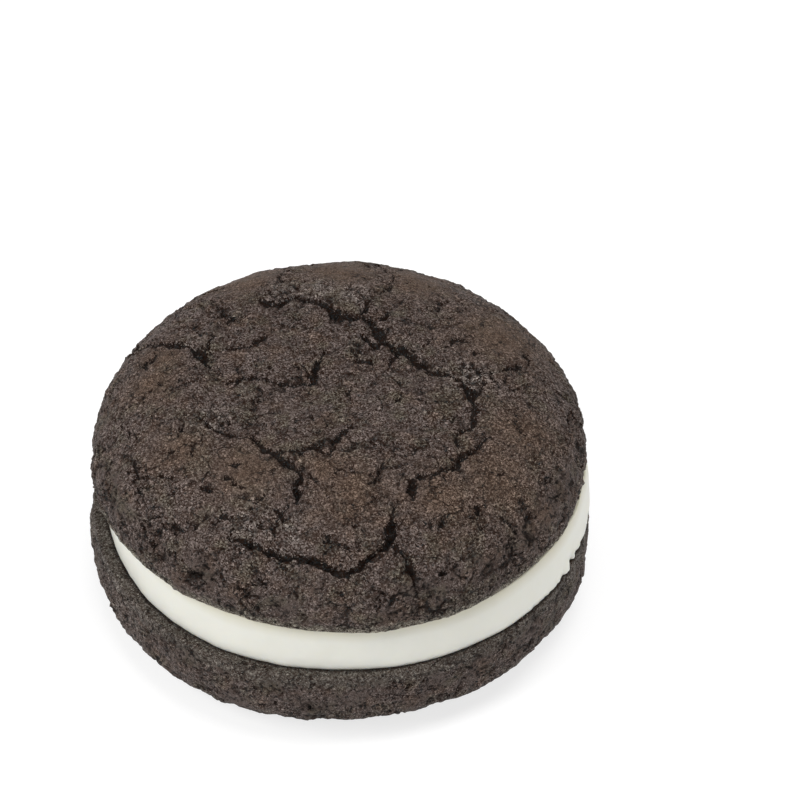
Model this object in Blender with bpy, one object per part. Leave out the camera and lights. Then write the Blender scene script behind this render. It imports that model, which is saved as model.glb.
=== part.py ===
"""A soft chocolate sandwich cookie: two round crackle-topped chocolate cakes, each flat on the side it was
baked on, with a thick layer of white cream between the flat sides.

Sizes are written in millimetres and turned into metres as each mesh is made. +Z is up, and the origin is the
middle of the small flat spot on the lower dome that the cookie rests on.
"""

import math

import bmesh
import bpy
from mathutils import Vector, noise

MM = 0.001

# Layers, from the rest spot upwards
LOWER_THICKNESS = 14.0
CREAM_THICKNESS = 7.5
UPPER_THICKNESS = 14.5
GAP = 0.3  # between the cream and each cake

# Upper cake: a low plateau inside broad round shoulders
UPPER_RADIUS = 35.9
UPPER_LIP_INSET = 1.0  # how far the rim of the flat side draws in
UPPER_LIP_HEIGHT = 2.5
UPPER_FLATNESS = 4.2  # the higher, the flatter the crown
UPPER_SHOULDER = 1.85  # the higher, the squarer the shoulder
UPPER_LOBES = ((3, 0.2, -38), (4, 0.15, 22), (5, 0.06, -5))  # waves round the edge, their size, their direction

# Lower cake: the same batter, a little wider, with a straighter edge
LOWER_RADIUS = 37.2
LOWER_LIP_INSET = 0.6
LOWER_LIP_HEIGHT = 4.5
LOWER_FLATNESS = 2.25
LOWER_SHOULDER = 4.4
LOWER_LOBES = ((3, 0.26, 0), (4, 0.22, 41), (5, 0.14, -28))
REST_RADIUS = 11.0

# Cream: pressed out almost to the edge, a little off centre
CREAM_RADIUS = 35.2
CREAM_OFFSET = 1.0  # towards +X
CREAM_LOBES = ((3, 0.26, -19), (4, 0.18, -11), (5, 0.22, 12))
CREAM_WAIST = 0.5  # how far its top edge draws in under the upper cake
CREAM_FOOT = 0.25

# Sunken middle of the upper crust, bounded by the ring of cracks
PLATEAU_CENTRE = (-1.5, 2.0)
PLATEAU_AXES = (19.5, 13.5)
PLATEAU_TURN = -20  # degrees
PLATEAU_SINK = 0.7
PLATEAU_EDGE = 0.18  # share of the plateau's size over which the crust steps down

# Low unevenness of a hand-dropped cake
LUMP_SIZE = 11.0
LUMP_HEIGHT = 0.3

# How finely the domes are divided
STEPS_ROUND = 84
LIP_STEPS = 3
DOME_STEPS = 10

# Cracks in the two crusts: (width, depth, turning points seen from above)
UPPER_CRACKS = {
    "far_arc": (1.5, 1.7, ((-12, 19), (-8, 18.5), (-5, 19), (0, 15), (4, 14), (7, 9), (11, 5.5), (16, 2.2))),
    "east_arc": (1.4, 1.8, ((14, 3), (17.5, 0.5), (19.2, -3.5), (18.5, -8), (15.5, -9))),
    "east_spur": (1.0, 0.9, ((18.5, 2), (21, 3), (24, 4.5), (26.5, 5.5))),
    "west_rim": (1.5, 1.6, ((-35, 14.5), (-31, 13), (-26, 11.5), (-22, 10), (-19.5, 6), (-17, 2.5))),
    "middle": (0.9, 0.9, ((-2, 7.5), (-3.5, 3), (-4, 1), (-8, 0.5), (-13, 2), (-16, 1))),
    "south_edge": (1.1, 1.2, ((-21.5, -5.5), (-17, -9), (-13, -10.5), (-9.5, -14), (-5, -14), (-1, -11.5), (2, -9))),
    "south_spur": (1.1, 1.2, ((-10, -14.5), (-6.2, -17), (-6, -22), (-8.5, -25.5), (-9.5, -30))),
    "front_arc": (1.5, 2.0, ((-15.5, -26), (-10, -29.3), (-5, -31), (0, -32), (4, -30.5), (6.7, -28), (7, -23))),
    "front_spur": (1.0, 1.2, ((6.5, -28), (9.4, -30.4), (10.5, -33.5))),
    "south_east": (1.3, 1.3, ((21.5, -9.5), (18, -13.3), (15.5, -16), (10.5, -18.5), (10, -22))),
}
LOWER_CRACKS = {
    "far_arc": (1.4, 1.4, ((-22, 6), (-17, 14), (-9, 18.5), (0, 19.5), (8, 16), (12, 17))),
    "near_arc": (1.4, 1.5, ((22, -3), (19, -10), (12, -15.5), (5, -17), (-3, -20.5), (-9, -20))),
    "east_spur": (1.2, 1.2, ((15, 9), (20, 12), (24, 11), (29, 14))),
    "west_spur": (1.1, 1.2, ((-17, -6), (-22, -8), (-25, -13), (-29, -15))),
    "south_spur": (1.0, 1.1, ((2, -18), (4, -23), (2, -27), (3, -31))),
}
CRACK_STEP = 1.8  # a crack is straight for this long
CRACK_WANDER = 0.6  # how far each of its corners strays
CRACK_TAPER = 0.35  # share of the width and depth left at a crack's ends
CRACK_CLEARANCE = 1.5  # how far a cutter stands above the crust

COCOA = (0.055, 0.042, 0.036)
CREAM_WHITE = (0.80, 0.79, 0.71)


def smooth_step(value, low, high):
    share = min(max((value - low) / (high - low), 0.0), 1.0)
    return share * share * (3 - 2 * share)


def wave_edge(vertex, lobes, radius):
    """Moves a vertex with the slow waves of the edge, less the nearer it is to the middle."""
    angle = math.atan2(vertex.co.y, vertex.co.x)
    waves = sum(size * math.cos(count * (angle - math.radians(toward))) for count, size, toward in lobes)
    vertex.co.xy *= 1 + waves / radius


def cake_profile(radius, inset, lip_height, thickness, flatness, shoulder):
    """(radius, height above the flat side) from the flat side's rim, round the lip and up to the crown."""
    points = []
    for i in range(LIP_STEPS + 1):
        turn = math.pi / 2 * i / LIP_STEPS
        points.append((radius + inset * (math.sin(turn) - 1), lip_height * (1 - math.cos(turn))))
    for i in range(1, DOME_STEPS + 1):
        turn = math.pi / 2 * i / DOME_STEPS
        points.append((
            radius * math.cos(turn) ** (2 / flatness),
            lip_height + (thickness - lip_height) * math.sin(turn) ** (2 / shoulder),
        ))
    points[-1] = (0.0, thickness)
    return points


def turned(profile):
    """A bmesh of the profile, closed at its flat side and spun round Z, in millimetres."""
    mesh = bmesh.new()
    points = [mesh.verts.new((r, 0, z)) for r, z in [(0.0, profile[0][1])] + profile]
    edges = [mesh.edges.new(pair) for pair in zip(points, points[1:])]
    bmesh.ops.spin(
        mesh, geom=points + edges, cent=(0, 0, 0), axis=(0, 0, 1), angle=math.tau, steps=STEPS_ROUND, use_merge=True
    )
    bmesh.ops.remove_doubles(mesh, verts=mesh.verts[:], dist=0.01)
    bmesh.ops.recalc_face_normals(mesh, faces=mesh.faces[:])
    return mesh


def finished(mesh, name, material):
    """Turns a bmesh in millimetres into a smooth-shaded object in metres."""
    bmesh.ops.triangulate(mesh, faces=mesh.faces[:])
    bmesh.ops.recalc_face_normals(mesh, faces=mesh.faces[:])
    bmesh.ops.scale(mesh, vec=(MM, MM, MM), verts=mesh.verts[:])
    data = bpy.data.meshes.new(name)
    mesh.to_mesh(data)
    mesh.free()
    data.shade_smooth()
    data.set_sharp_from_angle(angle=math.radians(40))
    data.materials.append(material)
    piece = bpy.data.objects.new(name, data)
    bpy.context.scene.collection.objects.link(piece)
    return piece


def food(name, colour, roughness):
    material = bpy.data.materials.new(name)
    material.use_nodes = True
    shader = material.node_tree.nodes["Principled BSDF"]
    shader.inputs["Base Color"].default_value = (*colour, 1.0)
    shader.inputs["Roughness"].default_value = roughness
    return material


def plateau_sink(x, y):
    """How far the crust inside the ring of cracks has sunk."""
    turn = math.radians(PLATEAU_TURN)
    dx, dy = x - PLATEAU_CENTRE[0], y - PLATEAU_CENTRE[1]
    along = (dx * math.cos(turn) + dy * math.sin(turn)) / PLATEAU_AXES[0]
    across = (dy * math.cos(turn) - dx * math.sin(turn)) / PLATEAU_AXES[1]
    return PLATEAU_SINK * (1 - smooth_step(math.hypot(along, across), 1 - PLATEAU_EDGE, 1 + PLATEAU_EDGE))


def lump(point):
    return LUMP_HEIGHT * noise.noise(point / LUMP_SIZE)


def dome_height(x, y, radius, rise, flatness, shoulder):
    share = min(math.hypot(x, y) / radius, 1.0)
    return rise * (1 - share**flatness) ** (1 / shoulder)


def upper_crust(x, y):
    """Height of the upper cake's crust above the rest spot."""
    rise = UPPER_THICKNESS - UPPER_LIP_HEIGHT
    dome = dome_height(x, y, UPPER_RADIUS, rise, UPPER_FLATNESS, UPPER_SHOULDER)
    return LOWER_THICKNESS + CREAM_THICKNESS + UPPER_LIP_HEIGHT + dome - plateau_sink(x, y)


def lower_crust(x, y):
    """Height of the lower cake's underside above the rest spot."""
    rise = LOWER_THICKNESS - LOWER_LIP_HEIGHT
    return rise - dome_height(x, y, LOWER_RADIUS, rise, LOWER_FLATNESS, LOWER_SHOULDER)


def crack_route(turning_points, seed):
    """The crack's corners: its turning points, with the runs between them broken into short wandering ones."""
    corners = []
    for start, end in zip(turning_points, turning_points[1:]):
        start, end = Vector(start), Vector(end)
        count = max(round((end - start).length / CRACK_STEP), 1)
        corners += [start.lerp(end, i / count) for i in range(count)]
    corners.append(Vector(turning_points[-1]))
    for corner in corners[1:-1]:
        stray = noise.noise_vector(Vector((corner.x * 0.9, corner.y * 0.9, seed)))
        corner += CRACK_WANDER * stray.to_2d()
    return corners


def crack_cutter(name, crack, crust, outward, seed):
    """A wedge with its edge at the crack's depth, drawn out corner by corner along the crack's route."""
    width, depth, turning_points = crack
    route = crack_route(turning_points, seed)
    mesh = bmesh.new()
    sections = []
    for i, corner in enumerate(route):
        ahead = (route[min(i + 1, len(route) - 1)] - route[max(i - 1, 0)]).normalized()
        side = Vector((-ahead.y, ahead.x))
        fullness = CRACK_TAPER + (1 - CRACK_TAPER) * math.sin(math.pi * i / (len(route) - 1)) ** 0.5
        height = crust(*corner)
        opening = width / 2 * fullness * (1 + CRACK_CLEARANCE / depth)
        sections.append([
            mesh.verts.new((*(corner + side * opening), height + outward * CRACK_CLEARANCE)),
            mesh.verts.new((*(corner - side * opening), height + outward * CRACK_CLEARANCE)),
            mesh.verts.new((*corner, height - outward * depth * fullness)),
        ])
    mesh.faces.new(sections[0])
    mesh.faces.new(sections[-1])
    for near, far in zip(sections, sections[1:]):
        for i in range(3):
            mesh.faces.new((near[i - 1], near[i], far[i], far[i - 1]))
    cutter = finished(mesh, name, None)
    cutter.hide_render = True
    cutter.display_type = "WIRE"
    return cutter


def cut_cracks(cake, cracks, crust, outward):
    for seed, (name, crack) in enumerate(cracks.items()):
        cutter = crack_cutter(f"{cake.name}_{name}_cutter", crack, crust, outward, seed)
        modifier = cake.modifiers.new(name, "BOOLEAN")
        modifier.operation = "DIFFERENCE"
        modifier.object = cutter


def upper_cake(material):
    mesh = turned(cake_profile(
        UPPER_RADIUS, UPPER_LIP_INSET, UPPER_LIP_HEIGHT, UPPER_THICKNESS, UPPER_FLATNESS, UPPER_SHOULDER
    ))
    for vertex in mesh.verts:
        on_crust = vertex.co.z > UPPER_LIP_HEIGHT
        wave_edge(vertex, UPPER_LOBES, UPPER_RADIUS)
        vertex.co.z += LOWER_THICKNESS + CREAM_THICKNESS
        if on_crust:
            vertex.co.z += lump(vertex.co) - plateau_sink(*vertex.co.xy)
    cake = finished(mesh, "upper_cake", material)
    cut_cracks(cake, UPPER_CRACKS, upper_crust, 1)
    return cake


def lower_cake(material):
    mesh = turned(cake_profile(
        LOWER_RADIUS, LOWER_LIP_INSET, LOWER_LIP_HEIGHT, LOWER_THICKNESS, LOWER_FLATNESS, LOWER_SHOULDER
    ))
    for vertex in mesh.verts:
        on_crust = vertex.co.z > LOWER_LIP_HEIGHT
        wave_edge(vertex, LOWER_LOBES, LOWER_RADIUS)
        vertex.co.z = LOWER_THICKNESS - vertex.co.z
        if on_crust:
            beyond_rest = smooth_step(vertex.co.xy.length, REST_RADIUS, 2 * REST_RADIUS)
            vertex.co.z = max(beyond_rest * (vertex.co.z + lump(vertex.co)), 0.0)
    cake = finished(mesh, "lower_cake", material)
    cut_cracks(cake, LOWER_CRACKS, lower_crust, -1)
    return cake


def cream_filling(material):
    """The cream runs right through between the flat sides, and draws in a little under the upper cake."""
    height = CREAM_THICKNESS - 2 * GAP
    mesh = turned([
        (CREAM_RADIUS - CREAM_FOOT, 0.0),
        (CREAM_RADIUS, height * 0.12),
        (CREAM_RADIUS, height * 0.5),
        (CREAM_RADIUS - CREAM_WAIST * 0.4, height * 0.8),
        (CREAM_RADIUS - CREAM_WAIST, height),
        (0.0, height),
    ])
    for vertex in mesh.verts:
        wave_edge(vertex, CREAM_LOBES, CREAM_RADIUS)
        vertex.co += Vector((CREAM_OFFSET, 0.0, LOWER_THICKNESS + GAP))
    return finished(mesh, "cream_filling", material)


def main():
    for item in list(bpy.data.objects):
        bpy.data.objects.remove(item, do_unlink=True)
    chocolate = food("chocolate_cake", COCOA, 0.8)
    cream = food("white_cream", CREAM_WHITE, 0.45)
    lower_cake(chocolate)
    cream_filling(cream)
    upper_cake(chocolate)


main()
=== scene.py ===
"""A soft chocolate sandwich cookie: two crackle-topped chocolate cakes with a thick layer of white cream
between their flat sides. Lengths are in millimetres until a mesh is finished, and in metres in the
materials and for the lights and the table.
"""

import math
import random

import bmesh
import bpy
import numpy as np
from mathutils import Euler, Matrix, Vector, noise


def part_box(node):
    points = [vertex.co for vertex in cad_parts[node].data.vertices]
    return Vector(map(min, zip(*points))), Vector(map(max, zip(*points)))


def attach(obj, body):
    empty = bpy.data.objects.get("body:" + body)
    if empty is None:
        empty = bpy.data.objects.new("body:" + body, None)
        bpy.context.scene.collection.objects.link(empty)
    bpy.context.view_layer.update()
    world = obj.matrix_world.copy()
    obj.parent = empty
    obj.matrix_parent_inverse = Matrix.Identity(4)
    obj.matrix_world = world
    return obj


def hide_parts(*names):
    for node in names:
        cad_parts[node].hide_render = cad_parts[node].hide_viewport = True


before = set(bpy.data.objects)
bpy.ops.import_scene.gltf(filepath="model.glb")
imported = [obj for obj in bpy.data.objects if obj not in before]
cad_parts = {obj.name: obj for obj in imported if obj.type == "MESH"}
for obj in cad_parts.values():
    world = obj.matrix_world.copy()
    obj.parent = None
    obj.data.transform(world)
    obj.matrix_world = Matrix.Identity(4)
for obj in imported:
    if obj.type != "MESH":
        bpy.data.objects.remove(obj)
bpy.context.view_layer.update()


# --- Lower cake -----------------------------------------------------------------------------------------
# A round of soft chocolate batter, baked flat side down on a sheet and turned over for the sandwich, so
# that its crackled dome is underneath. Its flat side holds the cream, and a narrow, smooth ledge of it
# shows.

MM = 0.001
LOWER_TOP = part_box("lower_cake")[1].z / MM
LOWER_SHAPE = {
    "radius": 37.2,
    "thickness": LOWER_TOP,
    "lip_inset": 0.6,
    "lip_height": 4.5,
    "flatness": 2.25,
    "shoulder": 4.4,
    "ledge": 4.5,
}
# The slow waves of its edge: how many go round, how high, and where one crests, in degrees
LOWER_WAVES = ((2, 0.15, -75), (3, 0.26, 0), (4, 0.22, 41), (5, 0.14, -28))

# Each crack is a run of (x, y, width), seen along the dome's axis
LOWER_CRACKS = [
    [(-22, 6, 0.8), (-17, 14, 1.4), (-9, 18.5, 1.4), (0, 19.5, 1.6), (8, 16, 1.2), (12, 17, 0.6)],
    [(22, -3, 0.8), (19, -10, 1.4), (12, -15.5, 1.2), (5, -17, 1.6), (-3, -20.5, 1.4), (-9, -20, 0.7)],
    [(15, 9, 0.7), (20, 12, 1.2), (24, 11, 1.3), (29, 14, 0.6)],
    [(-17, -6, 0.6), (-22, -8, 1.1), (-25, -13, 1.1), (-29, -15, 0.5)],
    [(2, -18, 0.8), (4, -23, 1.1), (2, -27, 0.8), (3, -31, 0.4)],
]
# Where its crust has crumbled a little and is paler, as (x, y, size, how much)
LOWER_CRUMBLY = [(-36, -5, 8, 0.5), (-31, -19, 8, 0.5)]

# How many points a cake's curve has over its dome, round its lip and in along its ledge
DOME_STEPS = 400
LIP_STEPS = 100
LEDGE_STEPS = 40


def cake_curve(radius, thickness, lip_inset, lip_height, flatness, shoulder, ledge):
    """Fine (reach, height) points from the crown over the shoulder, round the lip and along the ledge."""
    turn = np.linspace(math.pi / 2, 0, DOME_STEPS)
    dome_reach = radius * np.cos(turn) ** (2 / flatness)
    dome_height = lip_height + (thickness - lip_height) * np.sin(turn) ** (2 / shoulder)
    dome_reach[0] = 0
    turn = np.linspace(math.pi / 2, 0, LIP_STEPS)[1:]
    lip_reach = radius + lip_inset * (np.sin(turn) - 1)
    height_on_lip = lip_height * (1 - np.cos(turn))
    ledge_reach = np.linspace(lip_reach[-1], lip_reach[-1] - ledge, LEDGE_STEPS)[1:]
    reach = np.concatenate([dome_reach, lip_reach, ledge_reach])
    return reach, np.concatenate([dome_height, height_on_lip, np.zeros(LEDGE_STEPS - 1)])


def half_ball():
    """Half of a finely divided ball, open at its equator, with near-equal triangles all over."""
    shell = bmesh.new()
    bmesh.ops.create_icosphere(shell, subdivisions=8, radius=1.0)
    bmesh.ops.bisect_plane(
        shell, geom=shell.verts[:] + shell.edges[:] + shell.faces[:], dist=1e-6,
        plane_co=(0, 0, 0), plane_no=(0, 0, -1), clear_outer=True,
    )
    return shell


def lay_over(shell, shape):
    """Lays the half ball over the cake's curve, each triangle keeping its share of the area.

    Returns for each vertex its direction round the cake, its reach and height on the curve, its way along
    the curve from the crown, and the outward slope there."""
    reach, height = cake_curve(**shape)
    steps = np.hypot(np.diff(reach), np.diff(height))
    way = np.concatenate([[0], np.cumsum(steps)])
    area = np.concatenate([[0], np.cumsum(steps * (reach[1:] + reach[:-1]))])
    ball = np.array([v.co for v in shell.verts])
    place = np.interp(1 - ball[:, 2].clip(0, 1), area / area[-1], way)
    slope = np.stack([-np.gradient(height, way), np.gradient(reach, way)], 1)
    slope /= np.linalg.norm(slope, axis=1)[:, None]
    outward = np.stack([np.interp(place, way, slope[:, i]) for i in (0, 1)], 1)
    direction = np.arctan2(ball[:, 1], ball[:, 0])
    return direction, np.interp(place, way, reach), np.interp(place, way, height), place, outward


def waves_round(direction, waves):
    """How far the waves of a round edge carry it out in each direction."""
    return sum(high * np.cos(count * (direction - math.radians(crest))) for count, high, crest in waves)


def smooth_step(value, low, high):
    """Rises smoothly from 0 at low to 1 at high."""
    share = np.clip((value - low) / (high - low), 0, 1)
    return share * share * (3 - 2 * share)


def rough(points, size, depth=3, seed=0.0):
    """Uneven values between about -1 and 1, with lumps of the given size."""
    shift = Vector((seed, -seed, 3 * seed))
    return np.array([noise.fractal(Vector(p) / size + shift, 1.0, 2.0, depth) for p in points])


def granules(points, size, seed=0.0):
    """For packed grains: how far the nearest grain's middle is, and how far the gap round it is."""
    shift = Vector((seed, 2 * seed, -seed))
    near = np.array([noise.voronoi(Vector(p) / size + shift)[0][:2] for p in points])
    return near[:, 0], near[:, 1] - near[:, 0]


CRACK_DEPTH = 0.45  # to which its width adds
CRACK_DEEPENING = 1.3  # a crack is deeper by this share of half its width
HAIRLINE = 0.22  # narrower than this on each side, it is shallower
CRACK_SIDE = 1.4  # how far beside a crack the crumb is loosened


def opened(at, cracks, swell):
    """How deep the cracks are at each point of the unrolled crust, and how near it is to a crack's edge.

    Swell widens and narrows the cracks from place to place."""
    deep = np.zeros(len(at))
    near_edge = np.zeros(len(at))
    for crack in cracks:
        route = np.array(crack, float)
        corners, widths = route[:, :2], route[:, 2]
        reach = widths.max() + CRACK_SIDE
        within = ((at > corners.min(0) - reach) & (at < corners.max(0) + reach)).all(1).nonzero()[0]
        runs = np.diff(corners, axis=0)
        offsets = at[within][:, None] - corners[:-1]
        share = np.clip((offsets * runs).sum(2) / (runs**2).sum(1), 0, 1)
        gaps = np.linalg.norm(offsets - share[..., None] * runs, axis=2)
        half = (widths[:-1] + share * np.diff(widths)) / 2 * swell[within][:, None]
        if len(within):
            pick = (gaps - half).argmin(1)
            rows = np.arange(len(within))
            gap, half = gaps[rows, pick], half[rows, pick]
            bottom = (CRACK_DEPTH + CRACK_DEEPENING * half) * np.clip(half / HAIRLINE, 0, 1)
            bottom *= np.clip(1 - (gap / half) ** 2, 0, 1) ** 0.85
            deep[within] = np.maximum(deep[within], bottom)
            beside = half * np.clip(1 - (gap - half) / CRACK_SIDE, 0, 1)
            near_edge[within] = np.maximum(near_edge[within], beside)
    return deep, near_edge


def fine_cracks(count, nearest, furthest, seed):
    """Short crooked hairline cracks, strewn over the unrolled crust between two reaches."""
    choose = random.Random(seed)
    cracks = []
    for _ in range(count):
        far = math.sqrt(choose.uniform(nearest**2, furthest**2))
        way, heading = choose.uniform(0, math.tau), choose.uniform(0, math.tau)
        x, y = far * math.cos(way), far * math.sin(way)
        width = choose.uniform(0.5, 1.0)
        crack = [(x, y, width * 0.6)]
        for _ in range(choose.randint(1, 4)):
            heading += choose.uniform(-0.7, 0.7)
            step = choose.uniform(0.5, 1.3)
            x, y = x + step * math.cos(heading), y + step * math.sin(heading)
            crack.append((x, y, width * choose.uniform(0.4, 1.0)))
        cracks.append(crack)
    return cracks


def unrolled(cracks, shape):
    """Cracks seen along the dome's axis, stretched outwards to lie on the unrolled crust."""
    reach, height = cake_curve(**shape)
    way = np.concatenate([[0], np.cumsum(np.hypot(np.diff(reach), np.diff(height)))])
    laid = []
    for crack in cracks:
        laid.append([])
        for x, y, width in crack:
            far = math.hypot(x, y)
            stretch = np.interp(far, reach[:DOME_STEPS], way[:DOME_STEPS]) / far if far else 1
            laid[-1].append((x * stretch, y * stretch, width))
    return laid


def spots(flat, places):
    """How strongly each point belongs to the places given as (x, y, size, strength)."""
    total = np.zeros(len(flat))
    for x, y, size, strength in places:
        total = np.maximum(
            total, strength * np.exp(-(((flat[:, 0] - x) ** 2 + (flat[:, 1] - y) ** 2) / size**2))
        )
    return total


# How far the crust's features stray from their even places, and the sizes of the ones that come in cells
STRAY = 0.35
LUMP_SIZE = 2.9
GRAIN_SIZE = 1.1
PIT_SPACING = 1.9
LOOSE_SIZE = 1.6

# How much each kind of unevenness raises or lowers the crust
SWELL_HEIGHT = 0.28
RIPPLE_HEIGHT = 0.12
LUMP_HEIGHT = 0.10
GRAIN_HEIGHT = 0.26
CRUMB_HEIGHT = 0.14
FLAKE_HEIGHT = 0.2
LOOSE_HEIGHT = 0.5
CREASE_DEPTH = 0.26
CHINK_DEPTH = 0.25
PIT_DEPTH = 0.38
CRACK_SLUMP = 0.2
TORN_HEIGHT = 0.2


def baked_cake(shape, waves, cracks, seed, crumb=1.0, skin=(), crumbly=(), sink=None):
    """A cake's mesh, dome up, with its flat side at height 0, and what its material needs to know of it.

    Crumb is how rough its open crumb is. Skin is where the crust stayed whole, as (x, y, size, how smooth),
    crumbly where it broke into loose crumb, and sink tells how far the crust fell while it baked."""
    shell = half_ball()
    direction, reach, height, way, outward = lay_over(shell, shape)
    across = np.stack([np.cos(direction), np.sin(direction)], 1)
    flat = np.column_stack([across * reach[:, None], height])
    normal = np.column_stack([across * outward[:, :1], outward[:, 1]])

    # the cracks, which the crumb bridges here and there
    on_crust = smooth_step(height, 0.0, 1.5)
    side = smooth_step(reach, 0.86 * shape["radius"], 0.97 * shape["radius"]) * on_crust
    stray = np.stack([rough(flat, 1.7, 3, seed + i) for i in (1, 2)], 1)
    finer = np.stack([rough(flat, 0.8, 2, seed + i) for i in (3, 4)], 1)
    at = across * way[:, None] + STRAY * stray + STRAY * finer
    swell = 0.78 + 0.55 * rough(flat, 2.0, 3, seed + 14)
    deep, near_edge = opened(at, cracks, swell.clip(0.42, 1.4))
    deep *= (0.8 + rough(flat, 1.2, 3, seed + 19)).clip(0.25, 1.15)
    deep *= on_crust
    near_edge *= on_crust

    # where the crust is smooth, and where its crumb is open
    loose = spots(flat, crumbly)
    whole = spots(flat, [(x, y, size, 1.0) for x, y, size, _ in skin]) * (1 - loose)
    smooth = np.maximum(0.35 * smooth_step(rough(flat, 8.0, 2, seed + 9), 0.0, 0.6), spots(flat, skin))
    smooth *= 1 - loose
    open_crumb = np.clip(0.55 + 0.45 * side - 0.5 * smooth + 1.2 * near_edge + 0.6 * loose, 0.12, 1.5)
    open_crumb *= crumb

    # lumps and grains with creases and chinks between them, pits, and flakes that stand a little higher
    strayed = flat + STRAY * np.column_stack([stray, stray[:, 0] - stray[:, 1]])
    lump, lump_gap = granules(strayed, LUMP_SIZE, seed + 5)
    crease = 1 - smooth_step(lump_gap, 0.02, 0.15)
    crease *= smooth_step(rough(flat, 3.5, 2, seed + 6), -0.25, 0.35)
    grain, grain_gap = granules(strayed, GRAIN_SIZE, seed + 7)
    chink = 1 - smooth_step(grain_gap, 0.02, 0.16)
    chink *= smooth_step(rough(flat, 2.2, 2, seed + 16), 0.0, 0.4)
    hole = granules(strayed + 0.5 * finer[:, [0, 1, 0]], PIT_SPACING, seed + 8)[0]
    pit = (1 - smooth_step(hole, 0.08, 0.2)) * smooth_step(rough(flat, 0.9, 1, seed + 10), -0.4, 0.3)
    flake = smooth_step(rough(strayed, 3.4, 2, seed + 15), -0.03, 0.05)
    relief = (
        SWELL_HEIGHT * rough(flat, 9.0, 2, seed + 11)
        + RIPPLE_HEIGHT * rough(flat, 3.0, 2, seed + 12)
        + open_crumb * (
            GRAIN_HEIGHT * (0.6 - grain)
            + CRUMB_HEIGHT * rough(flat, 0.8, 2, seed + 13)
            + FLAKE_HEIGHT * (flake - 0.5)
            - CREASE_DEPTH * crease
            - CHINK_DEPTH * chink
            - PIT_DEPTH * pit
            + LUMP_HEIGHT * (0.5 - lump)
        )
        + loose * LOOSE_HEIGHT * (0.55 - granules(strayed, LOOSE_SIZE, seed + 17)[0])
    ) * (0.2 + 0.8 * smooth_step(height, 0.0, 0.7))

    # the crust is moved out by its relief, then down by its cracks, or inwards where it is steep
    placed = flat + normal * relief[:, None]
    placed[:, :2] *= (1 + waves_round(direction, waves) / shape["radius"])[:, None]
    dropped = deep + CRACK_SLUMP * near_edge
    if sink is not None:
        dropped = dropped + sink(flat + STRAY * np.column_stack([stray, 0 * stray[:, :1]])) * on_crust
    steep = np.clip(1 - outward[:, 1], 0, 1)[:, None]
    placed -= (normal * steep + np.array([0, 0, 1.0]) * (1 - steep)) * dropped[:, None]
    torn = (deep > 0.1).nonzero()[0]
    for i in range(3):
        ragged = TORN_HEIGHT * rough(placed[torn], 0.8, 3, seed + 20 + i)
        placed[torn, i] += ragged * np.minimum(deep[torn] / 0.4, 1)

    bmesh.ops.holes_fill(shell, edges=[e for e in shell.edges if e.is_boundary])
    for vertex, place in zip(shell.verts, placed):
        vertex.co = place
    calm_side = 0.9 * side * smooth_step(rough(flat, 5.0, 2, seed + 22), -0.1, 0.5) * (1 - loose)
    # the cracks, and the pits, creases and chinks between grains, are given painted shade in the material
    narrow = np.clip(1.3 * np.maximum(crease, chink) - 0.3, 0, 1)
    gaps = np.maximum(np.clip(1.3 * pit - 0.5, 0, 1), narrow)
    masks = {
        "crack": smooth_step(deep, 0.02, 0.4),
        "pit": np.clip(open_crumb, 0, 1) * gaps,
        "skin": whole * (1 - np.clip(near_edge, 0, 1)),
        "even": np.maximum(np.maximum(smooth, calm_side), 0.4 * (1 - on_crust)),
        "side": side * (1 - smooth),
        "lip": 1 - smooth_step(height + 0.8 * rough(flat, 1.3, 2, seed + 18), 1.2, 2.5),
        "flat": smooth_step(shape["radius"] - shape["lip_inset"] - reach, 0.1, 0.7) * (height < 0.1),
        "loose": loose * smooth_step(0.55 - grain, -0.2, 0.3),
    }
    return shell, masks


def set_mask(mesh, mask, values):
    """Gives a mesh a value at each vertex, which its material reads by the mask's name."""
    mesh.attributes.new(mask, "FLOAT", "POINT").data.foreach_set("value", np.array(values, np.float32))


def finish_piece(shell, masks, name, material):
    """Turns a shape in millimetres into a piece in metres, with its masks and its material."""
    bmesh.ops.recalc_face_normals(shell, faces=shell.faces[:])
    bmesh.ops.scale(shell, vec=(MM, MM, MM), verts=shell.verts[:])
    mesh = bpy.data.meshes.new(name)
    shell.to_mesh(mesh)
    shell.free()
    for mask, values in masks.items():
        set_mask(mesh, mask, values)
    mesh.shade_smooth()
    mesh.materials.append(material)
    piece = bpy.data.objects.new(name, mesh)
    bpy.context.scene.collection.objects.link(piece)
    return piece


def node(tree, kind, inputs=None, **settings):
    """A shader node with its settings made and its inputs set or linked."""
    made = tree.nodes.new(kind)
    for key, value in settings.items():
        setattr(made, key, value)
    for key, value in (inputs or {}).items():
        if isinstance(value, bpy.types.NodeSocket):
            tree.links.new(value, made.inputs[key])
        else:
            made.inputs[key].default_value = value
    return made


def reckon(tree, operation, *values, **settings):
    """What a Math node makes of the values, which are numbers or sockets."""
    made = node(tree, "ShaderNodeMath", dict(enumerate(values)), operation=operation, **settings)
    return made.outputs["Value"]


def added(tree, value, factor, to):
    """The value times the factor, added to another."""
    return reckon(tree, "MULTIPLY_ADD", value, factor, to)


def spread(tree, value, low, high, at_low=0.0, at_high=1.0):
    """Goes evenly from one value to another as the given one goes from low to high."""
    ends = {"From Min": low, "From Max": high, "To Min": at_low, "To Max": at_high}
    return node(tree, "ShaderNodeMapRange", {"Value": value, **ends}).outputs["Result"]


def blended(tree, share, first, second, **settings):
    """The colour that lies that share of the way from the first to the second."""
    inputs = {"Factor": share, "A": first, "B": second}
    return node(tree, "ShaderNodeMix", inputs, data_type="RGBA", **settings).outputs["Result"]


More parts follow.
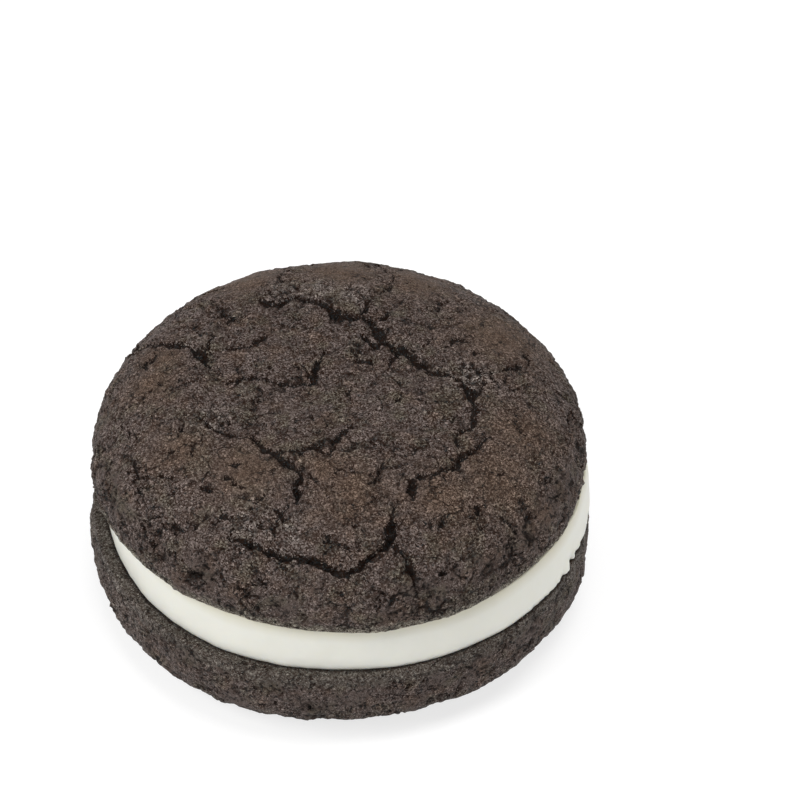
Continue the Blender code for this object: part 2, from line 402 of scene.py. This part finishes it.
def pushed(tree, place, scale, detail, roughness, distance):
    """Places moved unevenly by up to the distance, in metres, so that what lies on them is crooked."""
    stray = node(
        tree, "ShaderNodeTexNoise",
        {"Vector": place, "Scale": scale, "Detail": detail, "Roughness": roughness},
    )
    inputs = {0: stray.outputs["Color"], 1: (distance, distance, distance), 2: place}
    return node(tree, "ShaderNodeVectorMath", inputs, operation="MULTIPLY_ADD").outputs["Vector"]


def crumb_grain():
    """The grain of baked crumb that is finer than the mesh.

    Height is its relief and Light how light each grain is. Hollow, Pore and Line mask the gaps between
    grains, round bubbles and hairline cracks, and Uneven is a fine mottle."""
    group = bpy.data.node_groups.new("crumb_grain", "ShaderNodeTree")
    group.interface.new_socket("Place", in_out="INPUT", socket_type="NodeSocketVector")
    for name in ("Height", "Light", "Hollow", "Pore", "Line", "Uneven"):
        group.interface.new_socket(name, in_out="OUTPUT", socket_type="NodeSocketFloat")
    place = node(group, "NodeGroupInput").outputs["Place"]
    bend = pushed(group, place, scale=2500.0, detail=0.0, roughness=0.5, distance=0.0003)
    small = node(group, "ShaderNodeTexVoronoi", {"Vector": bend, "Scale": 5400.0})
    middling = node(group, "ShaderNodeTexVoronoi", {"Vector": bend, "Scale": 3400.0})
    fine = node(group, "ShaderNodeTexNoise", {"Vector": bend, "Scale": 4600.0, "Detail": 0.0})
    large = node(
        group, "ShaderNodeTexNoise", {"Vector": bend, "Scale": 1900.0, "Detail": 2.0, "Roughness": 0.6}
    )
    uneven = large.outputs["Fac"]
    # a few of the small grains are much lighter than the rest, and a few of the middling ones a little
    light = fine.outputs["Fac"]
    for cells, lift, base in ((small, 6.5, 0.18), (middling, 0.4, 0.9)):
        tone = node(group, "ShaderNodeSeparateColor", {"Color": cells.outputs["Color"]}).outputs["Red"]
        tone = added(group, reckon(group, "POWER", tone, 2.0), lift, base)
        light = reckon(group, "MULTIPLY", light, tone)
    hollow = spread(group, uneven, 0.33, 0.37, at_low=1.0, at_high=0.0)
    bubbles = node(group, "ShaderNodeTexVoronoi", {"Vector": bend, "Scale": 1400.0})
    pore = spread(group, bubbles.outputs["Distance"], 0.26, 0.34, at_low=1.0, at_high=0.0)
    # short hairline cracks, along the broken edges of crooked plates
    crooked = pushed(group, place, scale=900.0, detail=3.0, roughness=0.7, distance=0.0016)
    plates = node(
        group, "ShaderNodeTexVoronoi", {"Vector": crooked, "Scale": 380.0}, feature="DISTANCE_TO_EDGE"
    )
    thin = spread(group, plates.outputs["Distance"], 0.02, 0.045, at_low=1.0, at_high=0.0)
    broken = node(group, "ShaderNodeTexNoise", {"Vector": place, "Scale": 420.0, "Detail": 2.0})
    line = reckon(group, "MULTIPLY", thin, spread(group, broken.outputs["Fac"], 0.52, 0.58))
    height = light
    for gap, deep in ((middling.outputs["Distance"], 0.7), (hollow, 1.2), (line, 1.5), (pore, 1.5)):
        height = added(group, gap, -deep, height)
    out = node(group, "NodeGroupOutput")
    for name, value in (
        ("Height", height), ("Light", light), ("Hollow", hollow), ("Pore", pore), ("Line", line),
        ("Uneven", uneven),
    ):
        group.links.new(value, out.inputs[name])
    return group


GRAIN = crumb_grain()

CRUMB_COLOUR = (0.110, 0.083, 0.073, 1.0)
WARM_COLOUR = (0.119, 0.079, 0.058, 1.0)
OLIVE_COLOUR = (0.102, 0.088, 0.062, 1.0)
SKIN_COLOUR = (0.128, 0.086, 0.063, 1.0)
LOOSE_COLOUR = (0.200, 0.168, 0.150, 1.0)
LEDGE_COLOUR = (0.116, 0.097, 0.082, 1.0)
FLAT_COLOUR = (0.118, 0.102, 0.086, 1.0)
# painted shade on the lower cake's underside
UNDERSIDE_SHADE_COLOUR = (0.050, 0.040, 0.033, 1.0)
# painted shade in cracks, pits, pores and hairlines, and the painted shadow line beside the cream
PAINTED_SHADE_COLOUR = (0.016, 0.011, 0.009, 1.0)
SHADE_COLOUR = (0.015, 0.004, 0.0, 1.0)

# How much of each patch's tint shows, and how dark the painted shade in each kind of gap in the crumb is
PATCH_TINT = 0.55
HOLLOW_SHADE = 0.9
PORE_SHADE = 0.12
LINE_SHADE = 0.7
CRACK_SHADE = 0.97
# How much darker the painted shade in the hollows and pores is at the side of the cake, and how much of
# the grain is lost there and where the crust is even
SIDE_HOLLOW_SHADE = 0.35
SIDE_PORE_SHADE = 0.6
SIDE_CALM = 0.15
EVEN_CALM = 0.6


def chocolate(name, seed, rim_colour):
    """Cocoa cake: warm brown where its skin is smooth, greyer in the open crumb, painted shade in the
    cracks.
    """
    material = bpy.data.materials.new(name)
    material.use_nodes = True
    tree = material.node_tree
    shader = tree.nodes["Principled BSDF"]
    place = node(tree, "ShaderNodeTexCoord").outputs["Object"]
    crack, pit, skin, even, side, lip, loose, flat, contact_shade, base = (
        node(tree, "ShaderNodeAttribute", attribute_name=mask).outputs["Fac"]
        for mask in ("crack", "pit", "skin", "even", "side", "lip", "loose", "flat", "contact_shade", "base")
    )
    grain = node(tree, "ShaderNodeGroup", node_tree=GRAIN)
    tree.links.new(place, grain.inputs["Place"])
    grain = grain.outputs
    patches = node(
        tree, "ShaderNodeTexNoise", {"Vector": place, "W": seed, "Scale": 330.0, "Detail": 2.0},
        noise_dimensions="4D",
    )
    tints = node(tree, "ShaderNodeSeparateColor", {"Color": patches.outputs["Color"]}).outputs
    colour = CRUMB_COLOUR
    # painted light and shade among these tints: the upper cake's pale lip band is partly painted reflection
    # from the cream, the lower cake's base is painted underside shade, and its dark line beside the cream
    # is painted shadow
    for share, tint in (
        (spread(tree, tints["Red"], 0.5, 0.66, at_high=PATCH_TINT), WARM_COLOUR),
        (spread(tree, tints["Green"], 0.5, 0.66, at_high=PATCH_TINT), OLIVE_COLOUR),
        (skin, SKIN_COLOUR), (lip, rim_colour), (flat, FLAT_COLOUR), (loose, LOOSE_COLOUR),
        (base, UNDERSIDE_SHADE_COLOUR), (contact_shade, PAINTED_SHADE_COLOUR),
    ):
        colour = blended(tree, share, colour, tint)
    # the grain shows less where the crust is even, and the painted shade in its hollows and pores more at
    # the side
    evened = reckon(tree, "MULTIPLY", even, EVEN_CALM)
    calm = added(tree, side, SIDE_CALM, evened)
    light = node(tree, "ShaderNodeMix", {"Factor": calm, "A": grain["Light"], "B": 1.0}).outputs["Result"]
    hollow_shade = added(tree, side, SIDE_HOLLOW_SHADE, reckon(tree, "SUBTRACT", HOLLOW_SHADE, evened))
    pore_shade = added(tree, side, SIDE_PORE_SHADE, PORE_SHADE)
    shade = added(tree, grain["Hollow"], hollow_shade, pit)
    shade = added(tree, grain["Pore"], pore_shade, shade)
    shade = added(tree, grain["Line"], LINE_SHADE, shade)
    # the painted shade of the cracks has a ragged, grainy edge
    ragged = added(tree, grain["Light"], -0.17, crack)
    ragged = added(tree, grain["Uneven"], 0.8, ragged)
    dark = spread(tree, ragged, 0.43, 0.74, at_high=CRACK_SHADE)
    dark = reckon(tree, "MULTIPLY", dark, spread(tree, crack, 0.02, 0.25))
    shade = reckon(tree, "MAXIMUM", dark, shade, use_clamp=True)
    colour = blended(tree, shade, colour, PAINTED_SHADE_COLOUR)
    # grains darker than the rest are browner too, and lighter ones greyer
    colour = blended(tree, light, SHADE_COLOUR, colour, clamp_factor=False)
    bump = node(tree, "ShaderNodeBump", {"Height": grain["Height"], "Strength": 1.0, "Distance": 0.00012})
    tree.links.new(colour, shader.inputs["Base Color"])
    tree.links.new(bump.outputs["Normal"], shader.inputs["Normal"])
    shader.inputs["Roughness"].default_value = 0.55
    shader.inputs["Specular IOR Level"].default_value = 0.1
    return material


lower_cracks = unrolled(LOWER_CRACKS, LOWER_SHAPE) + fine_cracks(90, nearest=8, furthest=44, seed=3)
lower_shell, lower_masks = baked_cake(
    LOWER_SHAPE, LOWER_WAVES, lower_cracks, seed=40, crumb=0.7, crumbly=LOWER_CRUMBLY
)
bmesh.ops.scale(lower_shell, vec=(1, 1, -1), verts=lower_shell.verts[:])
bmesh.ops.translate(lower_shell, vec=(0, 0, LOWER_TOP), verts=lower_shell.verts[:])
for vertex in lower_shell.verts:
    vertex.co.z = max(vertex.co.z, 0.0)
# painted shade on the underside: the crust is darker low down near the table, towards the dome's crown,
# which is underneath
UNDERSIDE_SHADE_DARKNESS = 0.7
UNDERSIDE_SHADE_FADE = (4.6, 6.2)  # the heights between which that fades out
lower_height = np.array([vertex.co.z for vertex in lower_shell.verts])
lower_masks["base"] = UNDERSIDE_SHADE_DARKNESS * (1 - smooth_step(lower_height, *UNDERSIDE_SHADE_FADE))
lower_chocolate = chocolate("lower_chocolate", 1.0, LEDGE_COLOUR)
lower = finish_piece(lower_shell, lower_masks, "baked_lower_cake", lower_chocolate)
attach(lower, "root")
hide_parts("lower_cake")


# --- Cream filling --------------------------------------------------------------------------------------
# Thick white shortening cream, piped on the lower cake and pressed out by the upper one nearly to the
# edge. It runs right through. Its side is smooth and satiny, drawn in under the upper lip, and torn a
# little at the right.

CREAM_LOW, CREAM_HIGH = (corner.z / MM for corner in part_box("cream_filling"))
CREAM_RADIUS = 35.2
CREAM_ASIDE = 1.0  # how far to the right it was piped
CREAM_BEDDED = 0.45  # how far it sinks into each cake
CREAM_BELLY = 0.45  # how far it bulges, low down
CREAM_DRAWN_IN = 1.0  # how much less it reaches under the lip than at its belly
CREAM_TUCK = 0.3  # how much less it reaches at its very foot
CREAM_STEPS = 24
CREAM_WAVES = ((3, 0.26, -19), (4, 0.18, -11), (5, 0.22, 12))
# Where the foot of its side is torn, as (direction in degrees, how deep, how many degrees to each side).
# A negative depth juts out.
CREAM_NICKS = [(-27.5, -0.3, 1.2), (-24.5, 0.45, 1.5), (-21.5, 0.25, 1.4), (-9, 0.3, 0.7)]
TORN_DIRECTION = math.radians(-24)
TORN_DEPTH = 0.2
FOOT_HEIGHT = 2.5  # how far up from the ledge it is torn

cream_foot = CREAM_LOW - CREAM_BEDDED
cream_height = CREAM_HIGH - CREAM_LOW + 2 * CREAM_BEDDED
cream_curve = [(0.0, cream_foot)]
for i in range(CREAM_STEPS + 1):
    up = i / CREAM_STEPS
    belly = CREAM_BELLY - CREAM_DRAWN_IN * up**1.5 - CREAM_TUCK * max(1 - up / 0.08, 0) ** 2
    cream_curve.append((CREAM_RADIUS + belly, cream_foot + up * cream_height))
cream_curve.append((0.0, CREAM_HIGH + CREAM_BEDDED))
cream_shell = bmesh.new()
cream_points = [cream_shell.verts.new((reach, 0, height)) for reach, height in cream_curve]
cream_edges = [cream_shell.edges.new(pair) for pair in zip(cream_points, cream_points[1:])]
bmesh.ops.spin(
    cream_shell, geom=cream_points + cream_edges, cent=(0, 0, 0), axis=(0, 0, 1), angle=math.tau, steps=720,
    use_merge=True,
)
bmesh.ops.remove_doubles(cream_shell, verts=cream_shell.verts[:], dist=0.001)
for vertex in cream_shell.verts:
    x, y, z = vertex.co
    if math.hypot(x, y) > 1:
        direction = math.atan2(y, x)
        low_down = 1 - min(max((z - CREAM_LOW) / FOOT_HEIGHT, 0), 1)
        torn_side = max(math.cos(direction - TORN_DIRECTION), 0) ** 16
        torn = noise.fractal(Vector((direction * 45, 0.5, z * 0.5)), 1.0, 2.0, 3)
        nick = sum(
            depth * min(max((wide - abs(math.degrees(direction) - place)) / 0.5, 0), 1)
            for place, depth, wide in CREAM_NICKS
        )
        uneven = (
            waves_round(direction, CREAM_WAVES)
            + 0.16 * noise.fractal(vertex.co / 6, 1.0, 2.0, 2)
            + 0.04 * noise.fractal(vertex.co / 1.2, 1.0, 2.0, 2)
            + low_down * (TORN_DEPTH * torn_side * torn - nick)
        )
        vertex.co.xy *= 1 + uneven / CREAM_RADIUS
        vertex.co.x += CREAM_ASIDE

CREAM_COLOUR = (0.805, 0.802, 0.735, 1.0)
DULL_CREAM_COLOUR = (0.775, 0.768, 0.690, 1.0)
# painted shade under the upper cake's lip, tinted by light off the chocolate
LIP_SHADE_CREAM_COLOUR = (0.66, 0.63, 0.50, 1.0)


def satin_cream():
    """White cream, clouded a little, with painted shade under the upper lip, a faint ripple and light that
    sinks into it.
    """
    material = bpy.data.materials.new("white_cream")
    material.use_nodes = True
    tree = material.node_tree
    shader = tree.nodes["Principled BSDF"]
    place = node(tree, "ShaderNodeTexCoord").outputs["Object"]
    lip_shade = node(tree, "ShaderNodeAttribute", attribute_name="lip_shade").outputs["Fac"]
    cloud = node(tree, "ShaderNodeTexNoise", {"Vector": place, "Scale": 90.0, "Detail": 3.0})
    colour = blended(tree, cloud.outputs["Fac"], DULL_CREAM_COLOUR, CREAM_COLOUR)
    # painted shade down from the upper cake's lip
    colour = blended(tree, lip_shade, colour, LIP_SHADE_CREAM_COLOUR)
    ripple = node(tree, "ShaderNodeTexNoise", {"Vector": place, "Scale": 900.0, "Detail": 3.0})
    bump = node(
        tree, "ShaderNodeBump", {"Height": ripple.outputs["Fac"], "Strength": 0.15, "Distance": 0.0002}
    )
    tree.links.new(colour, shader.inputs["Base Color"])
    tree.links.new(bump.outputs["Normal"], shader.inputs["Normal"])
    shader.inputs["Roughness"].default_value = 0.42
    shader.inputs["Subsurface Weight"].default_value = 0.3
    shader.inputs["Subsurface Radius"].default_value = (1.0, 0.85, 0.6)
    shader.inputs["Subsurface Scale"].default_value = 0.001
    return material


LIP_SHADE_REACH = 2.2  # how far down from the upper cake the painted shade under its lip reaches

lip_shade_share = [max(1 - (CREAM_HIGH + 0.2 - vertex.co.z) / LIP_SHADE_REACH, 0) for vertex in cream_shell.verts]
cream = finish_piece(cream_shell, {"lip_shade": lip_shade_share}, "pressed_cream", satin_cream())
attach(cream, "root")
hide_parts("cream_filling")

# painted shadow: a thin dark line on the ledge right beside the cream's foot
CONTACT_SHADE_DARKNESS = 0.8
CONTACT_SHADE_FADE = (0.1, 0.4)  # how far from the cream's edge that fades out
foot = sorted(
    (math.atan2(vertex.co.y, vertex.co.x), math.hypot(vertex.co.x, vertex.co.y) / MM)
    for vertex in cream.data.vertices
    if 0 < vertex.co.z / MM - CREAM_LOW < 0.4 and vertex.co.xy.length > MM
)
foot_way, foot_reach = np.array(foot).T
lower_at = np.array([vertex.co for vertex in lower.data.vertices]) / MM
lower_way = np.arctan2(lower_at[:, 1], lower_at[:, 0])
beside = np.hypot(lower_at[:, 0], lower_at[:, 1]) - np.interp(lower_way, foot_way, foot_reach)
contact_shade = CONTACT_SHADE_DARKNESS * (1 - smooth_step(np.abs(beside), *CONTACT_SHADE_FADE))
contact_shade *= smooth_step(lower_at[:, 2], LOWER_TOP - 0.5, LOWER_TOP - 0.2)
set_mask(lower.data, "contact_shade", contact_shade)


# --- Upper cake -----------------------------------------------------------------------------------------
# The same kind of cake, dome up. Its crust set before the batter stopped rising, so it broke into plates:
# a ring of cracks bounds a sunken middle, and another crack opens along the front shoulder.

UPPER_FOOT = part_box("upper_cake")[0].z / MM
UPPER_SHAPE = {
    "radius": 35.9,
    "thickness": 14.5,
    "lip_inset": 1.0,
    "lip_height": 2.5,
    "flatness": 4.2,
    "shoulder": 1.85,
    "ledge": 3.0,
}
UPPER_WAVES = ((3, 0.2, -38), (4, 0.15, 22), (5, 0.06, -5))
UPPER_CRACKS = [
    # the ring's far side, from the left round to the right
    [(-12, 19, 0.8), (-10.5, 18, 1.3), (-8, 18.5, 1.3), (-6, 19, 1.2), (-4, 18.5, 1.3), (-1.5, 16.5, 1.4),
     (0, 15, 2.2), (1.5, 14.5, 1.7), (4, 14, 1.6), (5.5, 12, 1.5), (6.5, 9.5, 1.6), (9.5, 7, 1.9),
     (12, 4.5, 1.4), (13, 3, 1.2), (16, 2.5, 1.3), (18, 0, 1.6), (19, -2.5, 1.9), (19, -5.5, 1.2),
     (19, -8, 1.0), (17.5, -9, 1.0), (16, -9, 0.5)],
    [(17.5, -9, 0.7), (16.5, -10, 0.9), (16.5, -11.5, 0.7), (16.5, -12.5, 0.4)],
    [(3, 11.5, 0.7), (4, 10, 1.1), (6, 8, 0.8)],
    [(3, 7, 0.5), (5, 8, 0.6)],
    [(15.5, 3, 0.8), (18, 4, 1.0), (19, 4.5, 0.8), (20, 3, 1.0), (21.5, 3, 1.2), (24, 4.5, 1.1),
     (26.5, 5.5, 0.6)],
    [(20, 2.5, 0.9), (21, 0.5, 1.0), (20, -0.5, 1.1), (19.5, -2, 1.0)],
    [(4, 19, 0.6), (4.5, 18, 1.0), (4, 17, 1.0), (3.5, 15.5, 1.0)],
    [(7.5, 16, 0.5), (7, 15, 0.9), (6, 13, 0.9)],
    [(8, 25, 0.6), (7.5, 22, 1.0), (6.5, 21, 1.0), (5.5, 20.5, 0.7)],
    [(20, 11.5, 0.5), (18, 10, 0.8), (16.5, 9.5, 0.7), (15, 7, 0.5)],
    [(14, 10, 0.4), (13, 9, 0.6), (11, 7, 0.6)],
    # the left side
    [(-19.5, 21, 0.5), (-18, 18.5, 0.8), (-17.5, 18, 0.9), (-17.5, 15, 0.7), (-17, 14.5, 0.4)],
    [(-35, 14.5, 1.4), (-32, 13.5, 1.4), (-28, 12, 1.1), (-25, 11, 1.6), (-22, 9.5, 1.4), (-21, 8, 1.3),
     (-20, 7, 2.0), (-19.5, 6, 2.0), (-19.5, 5, 0.9), (-18, 3.5, 0.7), (-17, 2.5, 0.4)],
    [(-19.5, 7, 1.1), (-19, 9.5, 1.1), (-19, 11.5, 0.6)],
    [(-17, 8.5, 0.7), (-14, 8.5, 1.1), (-12, 10, 1.1), (-10.5, 11, 0.6)],
    [(-25, 0, 0.5), (-21.5, 1, 0.7), (-20, 1, 0.5)],
    # the sunken middle
    [(-2, 7.5, 0.9), (-2.5, 6.5, 1.1), (-3.5, 3.5, 1.4), (-3.5, 2.5, 1.4), (-4, 1, 1.5), (-6.5, 0.5, 1.5),
     (-8, 0.5, 1.2), (-11.5, 2, 1.3), (-13.5, 2, 1.4), (-16, 1, 0.7)],
    [(-10, 3.5, 0.6), (-9.5, 5, 0.4)],
    [(-15, 4.5, 0.6), (-15, 3, 0.4)],
    [(-12, 0, 0.4), (-11, -1.5, 0.6), (-12, -3, 0.6), (-12.5, -4.5, 0.4)],
    [(9.5, 2.5, 0.7), (10.5, 3, 0.5)],
    # the ring's near side
    [(-21.5, -5.5, 0.7), (-19, -6, 0.9), (-18.5, -8, 1.0), (-17, -9, 1.6), (-15, -10.5, 1.1),
     (-13, -10.5, 1.0), (-11.5, -11, 1.1), (-11, -13, 1.0), (-9.5, -14, 1.4), (-7, -13.5, 1.2),
     (-5.5, -14, 1.2), (-3, -12.5, 1.1), (-0.5, -11.5, 1.1), (1, -9.5, 1.1), (2, -9, 1.0),
     (1, -8, 0.5)],
    [(-1, -12, 0.7), (-0.5, -13.5, 0.8), (-1.5, -14, 0.5)],
    [(-9.5, -14, 1.1), (-8, -15.5, 1.3), (-6, -17, 1.6), (-5.5, -19, 1.6), (-6, -20.5, 1.5),
     (-6, -23, 1.0), (-7, -23.5, 0.6), (-8.5, -25, 0.8), (-9, -26.5, 0.9), (-9.5, -28.5, 0.6)],
    [(21.5, -9.5, 0.5), (20, -11, 0.9), (19, -12.5, 1.1), (17, -14, 1.8), (16, -16, 1.1),
     (14, -17, 1.0), (12, -17.5, 1.1), (10, -19, 1.9), (10, -21, 1.2), (10, -22, 0.5)],
    [(6.5, -16.5, 0.6), (8.5, -16.5, 1.1), (10, -16, 0.6)],
    [(3, -13, 0.4), (5, -12.5, 0.7), (8.5, -12.5, 0.4)],
    # the front shoulder
    [(-15, -26, 0.6), (-15.5, -27, 0.9), (-12, -28.5, 1.1), (-10, -29.5, 1.3), (-7.5, -30.5, 1.6),
     (-4, -31, 1.6), (-2.5, -31.5, 1.7), (0, -32.5, 1.8), (2.5, -32, 1.6), (3.5, -31, 1.5),
     (5.5, -29.5, 1.4), (6.5, -28.5, 2.2), (7, -26, 2.1), (7, -25, 1.5), (7.5, -23, 0.7)],
    [(7, -28.5, 1.1), (9.5, -30.5, 1.1), (10, -32, 1.0), (10.5, -33.5, 0.6)],
    [(-18, -24.5, 0.6), (-16, -24, 1.1), (-14.5, -24.5, 0.6)],
    [(-11.5, -22.5, 0.7), (-10.5, -21.5, 0.6)],
    [(14, -24, 0.9), (14, -25.5, 0.6)],
    [(22, -21, 0.5), (22.5, -22.5, 0.7)],
    [(22, -25.5, 0.5), (24.5, -24, 0.7)],
    [(27.5, -20, 0.8), (26, -21, 0.5)],
    [(-24, -22, 0.5), (-22, -24, 0.7)],
    [(-27, -20.5, 0.5), (-25, -21, 0.7)],
    [(-25, -15.5, 0.5), (-23, -16.5, 0.7)],
    [(-29, -14.5, 0.5), (-26.5, -15, 0.7)],
    [(-24, -12.5, 0.5), (-23, -12, 0.6)],
]
# The line of the ring of cracks, seen from above, and how far the crust inside it sank
SUNKEN_EDGE = [
    (-12, 19), (-4, 18.5), (0, 15), (5, 13), (9.5, 7), (16, 2.5), (19, -3), (19, -8), (14, -9.5),
    (6, -10), (1.5, -9), (-5.5, -13.5), (-10, -13.5), (-13, -10.5), (-18, -8.5), (-20, -4), (-18, 3),
    (-19.5, 7), (-17.5, 14.5),
]
SUNKEN_DEPTH = 0.7
# Where the crust stayed whole and smooth
UPPER_SKIN = [
    (-13, -17, 5.5, 0.7), (2, -21.5, 5.5, 0.3), (-2, -17, 4, 0.3), (14, -21, 5, 0.2), (22, -17, 6, 0.3),
    (26, -8, 5, 0.4), (0, 27, 6, 1.0), (12, 25, 5.5, 1.0), (-14, 26, 5.5, 1.0), (-27, 2, 4, 0.5),
    (-26, 8, 3.8, 0.7), (-22, -12, 4, 0.4), (24, 12, 7, 0.8),
]
# Where it broke up into loose, paler crumb beside the cracks
UPPER_CRUMBLY = [
    (-8, 20.5, 2.6, 1.0), (-3, 21, 2.8, 1.0), (2, 19.5, 2.4, 0.9), (18.8, 2, 2.8, 1.2),
    (-18.5, -6.5, 2.2, 1.0), (-12.5, -25.5, 2.8, 0.8), (-7, -28, 2.6, 0.8), (-22, 10.5, 1.8, 0.8),
]
# The pale band along its lip: partly its own paler crumb edge, partly painted light reflected up from the
# cream
RIM_AND_REFLECTION_COLOUR = (0.205, 0.180, 0.145, 1.0)


def sunken(flat):
    """How far the crust has sunk at each point: fully inside the ring, not at all outside."""
    edge = np.array(SUNKEN_EDGE, float)
    after = np.roll(edge, -1, 0)
    runs = after - edge
    x, y = flat[:, :1], flat[:, 1:2]
    offsets = flat[:, None, :2] - edge
    share = np.clip((offsets * runs).sum(2) / (runs**2).sum(1), 0, 1)
    gap = np.linalg.norm(offsets - share[..., None] * runs, axis=2).min(1)
    above = (edge[:, 1] > y) != (after[:, 1] > y)
    slant = np.where(runs[:, 1] == 0, 1e-9, runs[:, 1])
    crossed = above & (x < edge[:, 0] + (y - edge[:, 1]) / slant * runs[:, 0])
    inside = crossed.sum(1) % 2 == 1
    return SUNKEN_DEPTH * smooth_step(np.where(inside, gap, -gap), -0.4, 1.0)


upper_cracks = unrolled(UPPER_CRACKS, UPPER_SHAPE)
upper_cracks += fine_cracks(100, nearest=2, furthest=26, seed=5)
upper_cracks += fine_cracks(150, nearest=26, furthest=46, seed=11)
upper_shell, upper_masks = baked_cake(
    UPPER_SHAPE, UPPER_WAVES, upper_cracks, seed=0, skin=UPPER_SKIN, crumbly=UPPER_CRUMBLY, sink=sunken
)
bmesh.ops.translate(upper_shell, vec=(0, 0, UPPER_FOOT), verts=upper_shell.verts[:])
upper_chocolate = chocolate("upper_chocolate", 2.0, RIM_AND_REFLECTION_COLOUR)
upper = finish_piece(upper_shell, upper_masks, "baked_upper_cake", upper_chocolate)
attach(upper, "root")
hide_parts("upper_cake")


# --- Loose crumbs ---------------------------------------------------------------------------------------
# Crumbs of the crust that came off when the cookie was handled. They lie on the dome and on the ledge of
# the lower cake, where they stick to what grease there is.

CRUMBS_ON_EACH = 45
SMALLEST_CRUMB = 0.15
LARGEST_CRUMB = 0.38


def crumb_places(piece, count, seed, fits):
    """Places on a piece where fits(reach, height) holds, each with the way out and a crumb's size."""
    choose = random.Random(seed)
    places = []
    while len(places) < count:
        vertex = piece.data.vertices[choose.randrange(len(piece.data.vertices))]
        if fits(math.hypot(vertex.co.x, vertex.co.y) / MM, vertex.co.z / MM) and vertex.normal.z > -0.3:
            size = choose.uniform(SMALLEST_CRUMB, LARGEST_CRUMB)
            places.append((vertex.co / MM, vertex.normal.copy(), size))
    return places


def on_dome(reach, height):
    """Whether a place is on the dome of the upper cake, well above its lip."""
    return height > UPPER_FOOT + 8 and reach < 30


def on_ledge(reach, height):
    """Whether a place is on the outer part of the lower cake's ledge."""
    return 36 < reach < 36.9 and LOWER_TOP - 0.6 < height


crumbs = bmesh.new()
places = crumb_places(upper, CRUMBS_ON_EACH, 1, on_dome)
places += crumb_places(lower, CRUMBS_ON_EACH, 2, on_ledge)
for where, out, size in places:
    turned = Euler((size * 90, size * 170, size * 260)).to_matrix().to_4x4()
    made = bmesh.ops.create_icosphere(crumbs, subdivisions=2, radius=size)["verts"]
    for vertex in made:
        vertex.co *= 1 + 0.35 * noise.noise(vertex.co / size * 1.6 + where)
    bmesh.ops.scale(crumbs, vec=(1.0, 0.8, 0.6), verts=made)
    bmesh.ops.transform(crumbs, matrix=turned, verts=made)
    bmesh.ops.translate(crumbs, vec=where + out * size * 0.2, verts=made)
crumb_chocolate = chocolate("crumb_chocolate", 3.0, LEDGE_COLOUR)
loose_crumbs = finish_piece(crumbs, {}, "loose_crumbs", crumb_chocolate)
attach(loose_crumbs, "root")


# --- Studio ---------------------------------------------------------------------------------------------
# A white table under large soft lights from above and from the upper left, with a dim one in front, and a
# long lens that looks down at the cookie from its front and leaves room at the upper right.

TARGET = Vector((0, 0, 15)) * MM
LOOK_FROM = 420 * MM
LOOK_DOWN = math.radians(45)
LENS = 127.6
LENS_TILT = math.radians(46.74)
LENS_ASIDE = math.radians(-1.22)

camera_data = bpy.data.cameras.new("long_lens")
camera_data.sensor_width = 36
camera_data.lens = LENS
camera_data.clip_start, camera_data.clip_end = 0.05, 10
camera = bpy.data.objects.new("long_lens", camera_data)
camera.location = TARGET + LOOK_FROM * Vector((0, -math.cos(LOOK_DOWN), math.sin(LOOK_DOWN)))
camera.rotation_mode = "QUATERNION"
tilted = Euler((LENS_TILT, 0, 0)).to_quaternion()
turned_aside = Euler((0, LENS_ASIDE, 0)).to_quaternion()
camera.rotation_quaternion = tilted @ turned_aside
bpy.context.scene.collection.objects.link(camera)
bpy.context.scene.camera = camera

table_mesh = bmesh.new()
bmesh.ops.create_grid(table_mesh, x_segments=1, y_segments=1, size=3.0)
table_data = bpy.data.meshes.new("white_table")
table_mesh.to_mesh(table_data)
table_mesh.free()
table_white = bpy.data.materials.new("table_white")
table_white.use_nodes = True
table_shader = table_white.node_tree.nodes["Principled BSDF"]
table_shader.inputs["Base Color"].default_value = (0.35, 0.35, 0.35, 1.0)
table_shader.inputs["Roughness"].default_value = 0.9
table_shader.inputs["Emission Color"].default_value = (1.0, 1.0, 1.0, 1.0)
table_shader.inputs["Emission Strength"].default_value = 0.72
table_data.materials.append(table_white)
table_top = bpy.data.objects.new("white_table", table_data)
bpy.context.scene.collection.objects.link(table_top)


def soft_box(name, place, size, power):
    """A round soft light that faces the cookie."""
    light = bpy.data.lights.new(name, "AREA")
    light.shape = "DISK"
    light.size = size
    light.energy = power
    box = bpy.data.objects.new(name, light)
    box.location = place
    box.rotation_mode = "QUATERNION"
    box.rotation_quaternion = (TARGET - box.location).to_track_quat("-Z", "Y")
    bpy.context.scene.collection.objects.link(box)


soft_box("key_light", Vector((-0.6, -0.3, 0.7)), size=0.5, power=4.7)
soft_box("front_light", Vector((0.35, -0.65, 0.6)), size=0.5, power=0.9)
soft_box("top_light", Vector((0.15, 0.0, 1.0)), size=0.6, power=5.6)

world = bpy.data.worlds.new("pale_room")
world.use_nodes = True
world.node_tree.nodes["Background"].inputs["Color"].default_value = (1.0, 1.0, 1.0, 1.0)
world.node_tree.nodes["Background"].inputs["Strength"].default_value = 0.27
bpy.context.scene.world = world
bpy.context.scene.view_settings.view_transform = "Standard"
